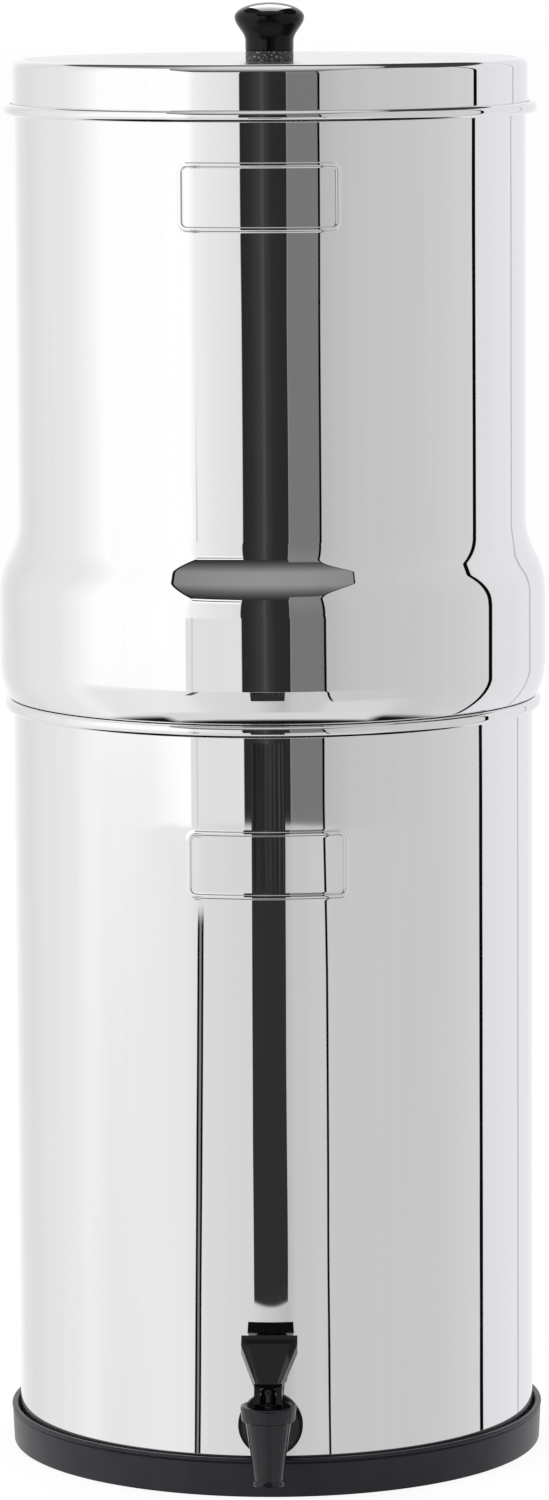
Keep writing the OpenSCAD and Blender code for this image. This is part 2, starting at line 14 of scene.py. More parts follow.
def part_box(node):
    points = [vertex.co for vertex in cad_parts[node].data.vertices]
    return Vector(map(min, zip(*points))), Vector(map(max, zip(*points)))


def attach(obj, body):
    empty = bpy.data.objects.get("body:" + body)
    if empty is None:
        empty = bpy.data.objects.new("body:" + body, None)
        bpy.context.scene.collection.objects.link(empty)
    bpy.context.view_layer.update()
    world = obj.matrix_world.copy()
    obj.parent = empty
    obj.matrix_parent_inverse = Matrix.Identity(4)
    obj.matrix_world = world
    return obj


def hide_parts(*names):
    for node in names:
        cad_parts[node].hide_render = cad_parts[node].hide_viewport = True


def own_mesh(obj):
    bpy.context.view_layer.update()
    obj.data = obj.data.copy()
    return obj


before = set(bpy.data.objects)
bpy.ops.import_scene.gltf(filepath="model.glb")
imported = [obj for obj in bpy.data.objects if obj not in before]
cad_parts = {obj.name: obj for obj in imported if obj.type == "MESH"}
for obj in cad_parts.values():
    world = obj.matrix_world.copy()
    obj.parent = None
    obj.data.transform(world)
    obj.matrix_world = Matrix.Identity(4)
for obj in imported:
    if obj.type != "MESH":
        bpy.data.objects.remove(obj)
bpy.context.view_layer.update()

MM = 0.001
ROUND_STEPS = 288        # steps of a full turn on the chambers and the lid
SMALL_STEPS = 96         # steps of a full turn on the tap's larger pieces
KNOB_STEPS, FILTER_STEPS, STEM_STEPS, ROOT_STEPS = 128, 72, 64, 48


def box_mm(node):
    """A CAD node's lowest and highest corners, in millimetres."""
    low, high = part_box(node)
    return low / MM, high / MM


# Heights and radii of the stack, in millimetres
SHEET = 0.75
LOWER_R = 136.75
RIM_H = 6.5
LOWER_LOW, LOWER_HIGH = box_mm("lower_chamber")
UPPER_LOW, UPPER_HIGH = box_mm("upper_chamber")
LID_LOW, LID_HIGH = box_mm("lid")
KNOB_LOW, KNOB_HIGH = box_mm("lid_knob")
RING_HIGH = box_mm("base_ring")[1]
SEAT_Z = LOWER_HIGH.z + 0.3
NECK_R = 133.4
LID_R = 134.5
LID_BORDER = 5.4         # width of the lid's bright border
LID_SHEET = 0.6

# The tap's places, in millimetres
FIT = 0.05               # gap between pieces that are fixed together
STEM_HIGH = box_mm("tap_stem")[1]
BONNET_LOW, BONNET_HIGH = box_mm("tap_bonnet")
TAP_Z = 37.7
SPOUT_Y = (BONNET_LOW.y + BONNET_HIGH.y) / 2
PIN_Z = BONNET_HIGH.z + 5.6


# ---- Outlines ----

def arc(x, z, r, start, end, steps=12):
    """Points on an arc about (x, z), from angle start to angle end in degrees."""
    turns = [radians(start + (end - start) * i / steps) for i in range(steps + 1)]
    return [(x + r * cos(a), z + r * sin(a)) for a in turns]


def ruled(points, step=8.0):
    """The outline with its long straight stretches cut up, so that their shading stays straight."""
    out = [points[0]]
    for (x0, z0), (x1, z1) in zip(points, points[1:]):
        length = ((x1 - x0) ** 2 + (z1 - z0) ** 2) ** 0.5
        if length < 1e-6:
            continue
        hold = min(0.4, length / 4)
        cuts = [hold / length] + [i * step / length for i in range(1, int(length / step))]
        shares = (cuts + [1 - hold / length] if length > 2 else []) + [1]
        out += [(x0 + (x1 - x0) * s, z0 + (z1 - z0) * s) for s in sorted(shares)]
    return out


def beside(points, t):
    """The outline moved by t to its left."""
    out = []
    for i, here in enumerate(points):
        before = Vector(points[max(i, 1)]) - Vector(points[max(i, 1) - 1])
        last = min(i, len(points) - 2)
        after = Vector(points[last + 1]) - Vector(points[last])
        left = [Vector((-v.y, v.x)).normalized() for v in (before, after)]
        way = (left[0] + left[1]).normalized()
        out.append(tuple(Vector(here) + way * (t / way.dot(left[0]))))
    return out


def sheet(points, t):
    """Closed outline of a sheet of thickness t to the left of the points."""
    return points + beside(points, t)[::-1]


def rolled_edge(r, end_z, width, height, t, up):
    """A rolled edge on a wall of radius r; up is 1 for a rim and -1 for the foot of a skirt."""
    outer, inner = width / 2, width / 2 - t
    near = end_z - up * outer
    far = near - up * (height - width)
    close = degrees(acos(-(inner - 0.2) / outer))
    return (arc(r + inner, near, inner, 180, 0 if up > 0 else 360, 24)
            + arc(r + inner, far, inner, 0, -up * close, 18))


# ---- Meshes ----

def finished(name, bm, sharp=40):
    """The bmesh as a piece whose faces are smooth except at edges sharper than the angle."""
    bmesh.ops.remove_doubles(bm, verts=bm.verts, dist=1e-7)
    bmesh.ops.recalc_face_normals(bm, faces=bm.faces)
    mesh = bpy.data.meshes.new(name)
    bm.to_mesh(mesh)
    bm.free()
    mesh.shade_smooth()
    mesh.set_sharp_from_angle(angle=radians(sharp))
    piece = bpy.data.objects.new(name, mesh)
    bpy.context.scene.collection.objects.link(piece)
    return piece


def turned(outline, steps, closed=True, centre=(0, 0)):
    """A bmesh of an outline in millimetres, turned round an upright line through centre."""
    bm = bmesh.new()
    verts = [bm.verts.new(((centre[0] + r) * MM, centre[1] * MM, z * MM)) for r, z in outline]
    ends = verts[1:] + verts[:1] if closed else verts[1:]
    edges = [bm.edges.new(pair) for pair in zip(verts, ends)]
    middle, parts = (centre[0] * MM, centre[1] * MM, 0), 8
    bmesh.ops.spin(bm, geom=verts + edges, cent=middle, axis=(0, 0, 1), angle=2 * pi / parts,
                   steps=steps // parts, use_merge=False)
    bmesh.ops.spin(bm, geom=bm.verts[:] + bm.edges[:] + bm.faces[:], cent=middle,
                   axis=(0, 0, 1), angle=2 * pi * (parts - 1) / parts, steps=parts - 1,
                   use_duplicate=True)
    bmesh.ops.remove_doubles(bm, verts=bm.verts, dist=3e-6)
    bmesh.ops.dissolve_degenerate(bm, edges=bm.edges, dist=1e-7)
    return bm


def lathe(name, outline, steps=SMALL_STEPS, closed=True, centre=(0, 0), sharp=40):
    """A finished piece that is turned from an outline."""
    return finished(name, turned(outline, steps, closed, centre), sharp)


def rod(start, end, r, steps=SMALL_STEPS):
    """A bmesh of a round rod between two points, in millimetres."""
    start, end = Vector(start) * MM, Vector(end) * MM
    way = end - start
    where = Matrix.Translation((start + end) / 2) @ way.to_track_quat("Z", "Y").to_matrix().to_4x4()
    bm = bmesh.new()
    bmesh.ops.create_cone(bm, cap_ends=True, segments=steps, radius1=r * MM, radius2=r * MM,
                          depth=way.length, matrix=where)
    return bm


def block(outline, thickness, where, far=None):
    """A bmesh of a flat outline in millimetres, made thick along its own Z and then placed.

    Its far side has the outline far, if one is given, with its points in the same order.
    """
    bm = bmesh.new()
    face = bm.faces.new([bm.verts.new((x * MM, y * MM, 0)) for x, y in outline])
    made = bmesh.ops.extrude_face_region(bm, geom=[face])["geom"]
    ends = dict(zip(outline, far or outline))
    for v in (v for v in made if isinstance(v, bmesh.types.BMVert)):
        near = min(outline, key=lambda point: (Vector(point) * MM - v.co.xy).length)
        v.co = (*(Vector(ends[near]) * MM), thickness * MM)
    bmesh.ops.transform(bm, matrix=where, verts=bm.verts)
    bmesh.ops.recalc_face_normals(bm, faces=bm.faces)
    return bm


def fused(name, parts, cuts=(), sharp=30):
    """One piece from overlapping closed bmeshes, with the cuts taken away."""
    whole = finished(name, parts[0], sharp)
    helpers = []
    for bm, operation in [(p, "UNION") for p in parts[1:]] + [(c, "DIFFERENCE") for c in cuts]:
        helper = finished(name + "_part", bm, sharp)
        helpers.append(helper)
        join = whole.modifiers.new("join", "BOOLEAN")
        join.operation, join.object, join.solver = operation, helper, "EXACT"
    solid = whole.evaluated_get(bpy.context.evaluated_depsgraph_get())
    mesh = bpy.data.meshes.new_from_object(solid)
    whole.modifiers.clear()
    whole.data = mesh
    mesh.name = name
    mesh.shade_smooth()
    mesh.set_sharp_from_angle(angle=radians(sharp))
    for helper in helpers:
        bpy.data.objects.remove(helper)
    return whole


def soften(piece, width, segments, angle):
    """Rounds a piece's edges, with its flats shaded flat."""
    bevel = piece.modifiers.new("soft edges", "BEVEL")
    bevel.width, bevel.segments = width * MM, segments
    bevel.limit_method, bevel.angle_limit = "ANGLE", radians(angle)
    bevel.use_clamp_overlap = True
    normals = piece.modifiers.new("flat shading", "WEIGHTED_NORMAL")
    normals.keep_sharp = False


def place(piece, body, slot, material, *nodes):
    """Gives a piece its finish and the CAD body that it moves with."""
    piece.data.materials.clear()
    piece.data.materials.append(material)
    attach(piece, body)
    if nodes:
        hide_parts(*nodes)


# ---- Shader arithmetic ----

class Link:
    """A node's output in an expression; each operation adds its Math node."""

    def __init__(self, tree, socket):
        self.tree, self.socket = tree, socket

    def math(self, operation, *values):
        return self.tree.node("ShaderNodeMath", {"operation": operation}, dict(enumerate(values)))

    def __add__(self, other):
        return self.math("ADD", self, other)

    def __sub__(self, other):
        return self.math("SUBTRACT", self, other)

    def __rsub__(self, other):
        return self.math("SUBTRACT", other, self)

    def __mul__(self, other):
        return self.math("MULTIPLY", self, other)

    def __truediv__(self, other):
        return self.math("DIVIDE", self, other)

    def __abs__(self):
        return self.math("ABSOLUTE", self)

    __radd__ = __add__
    __rmul__ = __mul__

    def least(self, other):
        return self.math("MINIMUM", self, other)

    def most(self, other):
        return self.math("MAXIMUM", self, other)

    def step(self, low, high):
        """0 below low and 1 above high, with a smooth rise between, or the reverse."""
        values = {"Value": self, "From Min": low, "From Max": high}
        return self.tree.node("ShaderNodeMapRange", {"interpolation_type": "SMOOTHSTEP"}, values)

    def ramp(self, low, high, stops):
        """Colour at each of the stops, which are (value, colour) between low and high."""
        share = (self - low) / (high - low)
        places = [((value - low) / (high - low), colour) for value, colour in stops]
        return self.tree.node("ShaderNodeValToRGB", {"stops": places}, {"Fac": share})


class Shade:
    """The node tree of a material or of the world."""

    def __init__(self, owner):
        owner.use_nodes = True
        self.tree = owner.node_tree
        self.tree.nodes.clear()

    def node(self, kind, settings=None, values=None, out=0):
        """Adds a node and returns one of its outputs; sockets are given by name or by number."""
        made = self.tree.nodes.new(kind)
        for key, value in (settings or {}).items():
            if key == "stops":
                self.set_stops(made.color_ramp, value)
            else:
                setattr(made, key, value)
        for key, value in (values or {}).items():
            socket = made.inputs[key]
            if isinstance(value, Link):
                self.tree.links.new(value.socket, socket)
            else:
                socket.default_value = value
        return Link(self, made.outputs[out]) if made.outputs else made

    @staticmethod
    def set_stops(ramp, stops):
        while len(ramp.elements) < len(stops):
            ramp.elements.new(1.0)
        for element, (position, colour) in zip(ramp.elements, stops):
            element.position, element.color = position, (*colour, 1)

    def mix(self, share, a, b):
        """Colour a where share is 0 and b where it is 1."""
        return self.node("ShaderNodeMix", {"data_type": "RGBA"}, {0: share, 6: a, 7: b}, 2)

    def spot(self, scale=(1, 1, 1)):
        """Object coordinates, scaled."""
        whole = self.node("ShaderNodeTexCoord", out="Object")
        return self.node("ShaderNodeMapping", {}, {"Vector": whole, "Scale": scale})

    def noise(self, scale, detail=3.0, roughness=0.5, stretch=(1, 1, 1)):
        values = {"Vector": self.spot(stretch), "Scale": scale, "Detail": detail,
                  "Roughness": roughness}
        return self.node("ShaderNodeTexNoise", {}, values)

    def bump(self, height, distance):
        return self.node("ShaderNodeBump", {}, {"Height": height, "Distance": distance})

    def surface(self, **values):
        """The Principled shader with these sockets, sent to the material's surface."""
        sockets = {key.replace("_", " "): value for key, value in values.items()}
        shader = self.node("ShaderNodeBsdfPrincipled", {}, sockets)
        self.node("ShaderNodeOutputMaterial", {}, {"Surface": shader})


def tone(level, tint=(1, 1, 1)):
    """Linear colour of a grey level from 0 to 255, with a tint."""
    share = level / 255
    linear = share / 12.92 if share < 0.04 else ((share + 0.055) / 1.055) ** 2.4
    return tuple(linear * c for c in tint)


def colour(level, tint=(1, 1, 1)):
    return (*tone(level, tint), 1)


# ---- Finishes ----

def polished_steel(name, soft_r=0.0):
    """Mirror-polished sheet: slow waves from rolling, faint upright polishing marks, smudges.

    Inside the radius soft_r, in metres, it is brushed softer. Walls that face the axis are satin.
    """
    soft_rough, satin_rough, satin_dull = 0.2, 0.4, 0.7
    finish = bpy.data.materials.new(name)
    s = Shade(finish)
    waves = s.noise(38.0, 1.0, 0.4, (1, 1, 0.2))
    marks = s.noise(120.0, 2.0, 0.6, (1, 1, 0.03))
    smudges = s.noise(16.0, 4.0, 0.6)
    grey = s.mix(marks.step(0.35, 0.75), colour(STEEL_GREY), colour(STEEL_GREY - 2))
    rough = 0.014 + smudges.step(0.55, 0.8) * 0.02
    if soft_r:
        x, y = (s.node("ShaderNodeSeparateXYZ", {}, {"Vector": s.spot()}, way) for way in "XY")
        rough = rough + (x * x + y * y).step(soft_r ** 2, (soft_r - 0.001) ** 2) * soft_rough
    outward = s.node("ShaderNodeVectorMath", {"operation": "DOT_PRODUCT"}, {
        0: s.node("ShaderNodeTexCoord", out="Normal"), 1: s.spot((1, 1, 0))}, "Value")
    lining = outward.step(-0.02, -0.05)
    s.surface(Base_Color=grey, Metallic=1 - lining * satin_dull,
              Roughness=rough + lining * satin_rough, Normal=s.bump(waves, 0.00007))
    return finish


def plain_steel():
    """Turned and pressed small steel: satin, with fine rings and darker stains."""
    finish = bpy.data.materials.new("plain_steel")
    s = Shade(finish)
    rings = s.noise(900.0, 2.0, 0.6, (0.05, 0.05, 1))
    stains = s.noise(120.0, 4.0, 0.6)
    grey = s.mix(stains.step(0.35, 0.75), colour(206), colour(186))
    rough = 0.2 + rings * 0.12
    s.surface(Base_Color=grey, Metallic=1.0, Roughness=rough, Normal=s.bump(rings, 0.00002))
    return finish


def moulded(name, dark, light, rough, grain, depth, shine=0.25):
    """Black plastic or rubber: two close shades in patches, and a fine moulded grain."""
    finish = bpy.data.materials.new(name)
    s = Shade(finish)
    cloud = s.noise(60.0, 3.0, 0.55)
    pits = s.noise(grain, 2.0, 0.6)
    shade = s.mix(cloud.step(0.3, 0.7), dark, light)
    wear = rough + (cloud - 0.5) * rough * 0.35
    s.surface(Base_Color=shade, Roughness=wear, Specular_IOR_Level=shine,
              Normal=s.bump(pits, depth))
    return finish


def speckled_rubber():
    """Rubber washer under the knob: dark and grained, with pale specks painted in as glints."""
    finish = bpy.data.materials.new("washer_rubber")
    s = Shade(finish)
    grain_and_glints = s.noise(900.0, 2.0, 0.7)
    # painted glints: pale specks stand in for highlights on the grained face
    shade = s.mix(grain_and_glints.step(0.56, 0.66), colour(36), colour(150))
    s.surface(Base_Color=shade, Roughness=0.42, Normal=s.bump(grain_and_glints, 0.0002))
    return finish


def carbon_block():
    """Pressed carbon: matte near-black with grey dust, its pores darkened with painted shade."""
    finish = bpy.data.materials.new("filter_carbon")
    s = Shade(finish)
    dust = s.noise(35.0, 5.0, 0.65)
    shaded_pores = s.node("ShaderNodeTexVoronoi", {}, {"Vector": s.spot(), "Scale": 700.0})
    shade = s.mix(dust.step(0.35, 0.75), colour(34), colour(58))
    # painted shade: the pores are darkened to near black
    shade = s.mix(shaded_pores.step(0.32, 0.1), shade, colour(18))
    s.surface(Base_Color=shade, Roughness=0.85, Normal=s.bump(shaded_pores, 0.0003))
    return finish


def milky(name, light, deep, rough):
    """Translucent-looking nylon or silicone: pale with slow clouds."""
    finish = bpy.data.materials.new(name)
    s = Shade(finish)
    cloud = s.noise(90.0, 4.0, 0.6)
    shade = s.mix(cloud.step(0.3, 0.7), light, deep)
    s.surface(Base_Color=shade, Roughness=rough + cloud * 0.1, Subsurface_Weight=0.15,
              Subsurface_Scale=0.002, Normal=s.bump(cloud, 0.00005))
    return finish


STEEL_GREY = 240
STEEL_GAIN = 1 / tone(STEEL_GREY)[0]     # how much brighter the studio is in the steel
PLUM = (0.97, 0.9, 1.36)
STEEL = polished_steel("polished_steel")
LID_STEEL = polished_steel("lid_steel", (LID_R - LID_BORDER) * MM)
SMALL_STEEL = plain_steel()
BASE_RUBBER = moulded("base_rubber", colour(30, PLUM), colour(36, PLUM), 0.34, 1400, 0.00003, 0.3)
GASKET_RUBBER = moulded("gasket_rubber", colour(14), colour(20), 0.4, 1200, 0.00004)
WASHER_RUBBER = speckled_rubber()
TAP_PLASTIC = moulded("tap_plastic", colour(18, PLUM), colour(23, PLUM), 0.08, 900, 0.000003, 0.4)
HANDLE_PLASTIC = moulded("handle_plastic", colour(9), colour(12), 0.1, 900, 0.000003, 0.2)
KNOB_PLASTIC = moulded("knob_plastic", colour(7, PLUM), colour(10, PLUM), 0.07, 900, 0.000004, 0.22)
FITTING_PLASTIC = moulded("fitting_plastic", colour(30), colour(40), 0.35, 1000, 0.00004, 0.4)
NUT_PLASTIC = milky("nut_plastic", colour(236), colour(222, (1, 0.99, 0.95)), 0.4)
SEAT_SILICONE = milky("seat_silicone", colour(196), colour(180, (0.98, 1, 1.03)), 0.45)
CARBON = carbon_block()


# ---- Chambers and lid ----

PLATE_W, PLATE_H, PLATE_LINE, PLATE_CORNER = 84.0, 35.0, 2.6, 5.0
PLATE_PROUD = 0.32
PLATE_LIE = 0.03         # how far a plate's flat border stands off the wall
LOWER_PLATE_Z = 328.0
UPPER_PLATE_Z = 667.0
UPPER_PLATE_TURN = -1.2


def raised_frame(name, r, z, turn):
    """The raised line round a bare plate, pressed out of a wall of radius r."""
    flank, margin, thick = 0.65, 0.8, 0.4
    crown = (PLATE_LINE - 2 * flank) / 2
    rise = [(flank * share, PLATE_PROUD * lift)
            for share, lift in ((0.2, 0.08), (0.3, 0.42), (0.3, 0.42), (0.2, 0.08))]
    fall = [(inset, -lift) for inset, lift in rise]
    bm = bmesh.new()
    bmesh.ops.create_grid(bm, x_segments=1, y_segments=1, size=0.5)
    size = (PLATE_W + 2 * margin, PLATE_H + 2 * margin, 1)
    bmesh.ops.scale(bm, vec=size, verts=bm.verts)
    bmesh.ops.bevel(bm, geom=list(bm.verts), offset=PLATE_CORNER + margin, affect="VERTICES",
                    segments=14, profile=0.5, material=-1)
    long_edges = [e for e in bm.edges if e.calc_length() > 8]
    bmesh.ops.subdivide_edges(bm, edges=long_edges, cuts=30)
    face = max(bm.faces, key=lambda f: f.calc_area())
    for inset, lift in [(margin, 0), *rise, (crown, 0), (crown, 0), *fall, (margin, 0)]:
        bmesh.ops.inset_individual(bm, faces=[face], thickness=inset, depth=lift,
                                   use_even_offset=True)
    bmesh.ops.delete(bm, geom=[face], context="FACES_ONLY")
    shell = bmesh.ops.extrude_face_region(bm, geom=list(bm.faces))["geom"]
    bmesh.ops.translate(bm, verts=[v for v in shell if isinstance(v, bmesh.types.BMVert)],
                        vec=(0, 0, thick))
    low = min(v.co.z for v in bm.verts)
    for v in bm.verts:
        x, y, up = v.co
        out = (r + PLATE_LIE + up - low - thick) * MM
        angle = radians(turn) + x / r
        v.co = (out * sin(angle), -out * cos(angle), (z + y) * MM)
    return finished(name, bm, 60)


def lower_chamber():
    corner = 6.0
    wall = arc(LOWER_R - corner, LOWER_LOW.z + corner, corner, -90, 0, 10)
    rim_w = LOWER_HIGH.x - LOWER_R + SHEET
    rim = rolled_edge(LOWER_R, LOWER_HIGH.z, rim_w, RIM_H, SHEET, 1)
    outline = sheet(ruled([(0, LOWER_LOW.z)] + wall + rim), SHEET)
    piece = lathe("lower_shell", outline, ROUND_STEPS, closed=False)
    place(piece, "lower_vessel", "polished_steel", STEEL, "lower_chamber")
    plate = raised_frame("lower_plate_frame", LOWER_R, LOWER_PLATE_Z, 0)
    place(plate, "lower_vessel", "polished_steel", STEEL)


def upper_chamber():
    nest_r, corner = LOWER_R - SHEET - 0.95, 6.0
    seat_corner, ledge_corner, hem_round, hem_w = 1.2, 0.9, 3.7, 4.4
    bulge_r, foot_h, bulge_h, bulge_round = 143.6, 17.7, 37.0, 38.0
    slope, neck_round = 26.0, 34.0
    middle = bulge_r - bulge_round
    foot_z = SEAT_Z + foot_h
    foot_angle = degrees(asin((foot_h - ledge_corner) / (bulge_round - ledge_corner)))
    shoulder_z = foot_z + bulge_h
    turned_in = (bulge_round + neck_round) * (1 - cos(radians(slope)))
    slope_len = (bulge_r - NECK_R - turned_in) / sin(radians(slope))
    neck_z = shoulder_z + (bulge_round + neck_round) * sin(radians(slope)) \
        + slope_len * cos(radians(slope))
    ledge_x = middle + (bulge_round - ledge_corner) * cos(radians(foot_angle))
    outline = [(0, UPPER_LOW.z)]
    outline += arc(nest_r - corner, UPPER_LOW.z + corner, corner, -90, 0, 10)
    outline += arc(nest_r + seat_corner, SEAT_Z - seat_corner, seat_corner, 180, 90, 6)
    outline += arc(ledge_x, SEAT_Z + ledge_corner, ledge_corner, -90, -foot_angle, 8)
    outline += arc(middle, foot_z, bulge_round, -foot_angle, 0, 24)[1:]
    outline += arc(middle, shoulder_z, bulge_round, 0, slope, 24)
    outline += arc(NECK_R + neck_round, neck_z, neck_round, 180 + slope, 180, 24)
    outline += arc(NECK_R - hem_round, UPPER_HIGH.z - hem_round, hem_round, 0, 90, 8)
    outline += [(NECK_R - hem_w, UPPER_HIGH.z)]
    piece = lathe("upper_shell", sheet(ruled(outline), SHEET), ROUND_STEPS, closed=False)
    place(piece, "upper_vessel", "polished_steel", STEEL, "upper_chamber")
    plate = raised_frame("upper_plate_frame", NECK_R, UPPER_PLATE_Z, UPPER_PLATE_TURN)
    place(plate, "upper_vessel", "polished_steel", STEEL)


def lid():
    corner, rim_h, dish, dish_round = 4.6, 6.0, 1.3, 60.0
    top_z = LID_HIGH.z
    rim_w = LID_HIGH.x - LID_R + LID_SHEET
    crest_r = LID_R - corner
    turn = degrees(acos(1 - dish / 2 / dish_round))
    dish_r = crest_r - 2 * dish_round * sin(radians(turn))
    outline = [(0, top_z - dish)]
    outline += arc(dish_r, top_z - dish + dish_round, dish_round, -90, -90 + turn, 8)
    outline += arc(crest_r, top_z - dish_round, dish_round, 90 + turn, 90, 8)[1:]
    outline += arc(crest_r, top_z - corner, corner, 90, 0, 16)[1:]
    outline += rolled_edge(LID_R, LID_LOW.z, rim_w, rim_h, LID_SHEET, -1)
    piece = lathe("lid_shell", sheet(ruled(outline), -LID_SHEET), ROUND_STEPS, closed=False)
    place(piece, "lid_assembly", "polished_steel", LID_STEEL, "lid")


def knob():
    neck_r, top_r, neck_h, dome_h, foot_round = 12.6, 18.2, 5.0, 7.6, 0.5
    foot, top = KNOB_LOW.z, KNOB_HIGH.z
    dome_z, flare_z = top - dome_h, foot + neck_h
    outline = [(0, foot)] + arc(neck_r - foot_round, foot + foot_round, foot_round, -90, 0, 5)
    for i in range(1, 25):
        share = i / 24
        outline.append((neck_r + (top_r - neck_r) * (1 - cos(share * pi)) / 2,
                        flare_z + (dome_z - flare_z) * share))
    outline += [(top_r * cos(a), dome_z + dome_h * sin(a))
                for a in (pi / 2 * i / 28 for i in range(1, 29))]
    grip = lathe("knob", ruled(outline, 2.0), KNOB_STEPS, closed=False)
    place(grip, "lid_assembly", "knob_plastic", KNOB_PLASTIC, "lid_knob")
    low, high = box_mm("knob_washer")
    r, edge = high.x, 0.5
    washer = [(0, low.z)] + arc(r - edge, low.z + edge, edge, -90, 0, 4) \
        + arc(r - edge, high.z - edge, edge, 0, 90, 4) + [(0, high.z)]
    piece = lathe("knob_seat_washer", washer, SMALL_STEPS, closed=False)
    place(piece, "lid_assembly", "washer_rubber", WASHER_RUBBER, "knob_washer")
    return grip


def base_ring():
    ring_h, lip_h, lip_proud = RING_HIGH.z, 1.9, 0.2
    inner_r, wall, ledge_w, ledge_h, draft, groove = 136.8, 4.4, 9.0, 8.0, 0.9, 0.6
    outer_r = inner_r + wall
    groove_z = ring_h - lip_h
    foot_round, gap, gap_h, lip_round = 0.8, 1.3, 3.0, 1.2
    outline = [(inner_r - ledge_w, 0)]
    outline += arc(outer_r - draft - foot_round, foot_round, foot_round, -90, 0, 5)
    outline += [(outer_r - 0.15, groove_z - groove - 0.2), (outer_r - 0.4, groove_z - groove)]
    outline += [(outer_r - groove, groove_z - groove / 2), (outer_r - 0.2, groove_z)]
    outline += arc(outer_r + lip_proud - lip_round, ring_h - lip_round, lip_round, -10, 90, 8)
    outline += arc(inner_r + gap + lip_round, ring_h - lip_round, lip_round, 90, 180, 6)
    outline += [(inner_r + 0.1, ring_h - gap_h)]
    outline += [(inner_r, ring_h - gap_h - 0.5), (inner_r, ledge_h), (inner_r - ledge_w, ledge_h)]
    piece = lathe("base_foot_ring", outline, ROUND_STEPS, sharp=35)
    place(piece, "lower_vessel", "base_rubber", BASE_RUBBER, "base_ring")


# ---- Tap ----

def tap_body():
    low, high = box_mm("tap_body")
    tip_z, bore_r, bore_h = low.z, 3.9, 20.0
    tip_r, neck_r, lip, mid_r, body_r = 8.4, 7.4, 1.3, 9.2, 11.75
    shank_r, flange_r, flange_t, gasket_t = 8.0, 14.75, 3.0, 2.2
    under_z = TAP_Z - 4.5
    shoulder_z = BONNET_LOW.z - FIT
    outline = [(0, tip_z + bore_h), (bore_r, tip_z + bore_h), (bore_r, tip_z + 0.6)]
    outline += [(bore_r + 0.6, tip_z), (tip_r - 0.3, tip_z), (tip_r, tip_z + 0.3)]
    outline += [(tip_r, tip_z + lip / 2), (neck_r + 0.35, tip_z + 1.3 * lip)]
    outline += [(neck_r, tip_z + 2 * lip), (mid_r, under_z)]
    outline += [(body_r, shoulder_z), (body_r - 1, high.z - 3), (0, high.z - 3)]
    spout = turned(ruled(outline, 3.0), SMALL_STEPS, closed=False, centre=(0, SPOUT_Y))
    shank = rod((0, high.y, TAP_Z), (0, SPOUT_Y, TAP_Z), shank_r)
    flange_y = -(LOWER_R + gasket_t) - FIT
    flange = rod((0, flange_y, TAP_Z), (0, flange_y - flange_t, TAP_Z), flange_r)
    piece = fused("tap_spout", [spout, shank, flange])
    soften(piece, 0.45, 3, 40)
    place(piece, "lower_vessel", "tap_plastic", TAP_PLASTIC, "tap_body")


def tap_bonnet():
    r, draft, bevel, collar_r, stem_r = 14.3, 0.7, 1.2, 11.25, 3.85
    foot, top = BONNET_LOW.z, BONNET_HIGH.z
    rim_in = 1.3
    outline = [(collar_r, foot + 0.3), (r - draft - 0.4, foot), (r - draft, foot + 0.4)]
    outline += arc(r - bevel, top - bevel, bevel, 0, 90, 8)
    outline += [(r - bevel - rim_in, top), (r - bevel - rim_in - 0.35, top - 0.35)]
    outline += [(stem_r + 1.2, top - 0.35), (stem_r + 0.9, top), (stem_r, top)]
    outline += [(stem_r, top - 2.1), (collar_r, top - 2.1)]
    piece = lathe("tap_cap", outline, SMALL_STEPS, centre=(0, SPOUT_Y), sharp=30)
    place(piece, "lower_vessel", "tap_plastic", TAP_PLASTIC, "tap_bonnet")


def tap_stem():
    r, foot_r, top = 3.8, 2.6, STEM_HIGH.z
    low, guide_z = box_mm("tap_stem")[0], BONNET_HIGH.z - 6.1
    outline = [(0, low.z), (foot_r, low.z), (foot_r, guide_z), (r, guide_z)]
    outline += arc(0, top - r, r, 0, 90, 12)
    piece = lathe("tap_plunger", ruled(outline, 2.0), STEM_STEPS, closed=False,
                  centre=(0, SPOUT_Y))
    place(piece, "stem", "tap_plastic", TAP_PLASTIC, "tap_stem")


def tap_seat():
    """The soft plug on the valve seat, with its bell under the cap, on a mesh of its own."""
    low, high = box_mm("tap_seat_cup")
    plug_r, bevel, wall, lift = 5.0, 0.4, 1.2, 4.0
    bell_r = (high.x - low.x) / 2
    plug_z, floor_z, floor_r, rim_z = low.z + 3.95, low.z + 4.35, 3.0, high.z - 1.9
    outline = [(0, low.z), (plug_r, low.z), (plug_r, plug_z - 2 * bevel), (plug_r - bevel, plug_z)]
    outline += [(bell_r, rim_z), (bell_r, high.z), (bell_r - wall, high.z)]
    outline += [(bell_r - wall, rim_z), (floor_r, floor_z), (0, floor_z)]
    piece = lathe("tap_seat_bell", outline, STEM_STEPS, closed=False, centre=(0, SPOUT_Y),
                  sharp=30)
    place(piece, "stem", "seat_silicone", SEAT_SILICONE, "tap_seat_cup")
    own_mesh(piece)


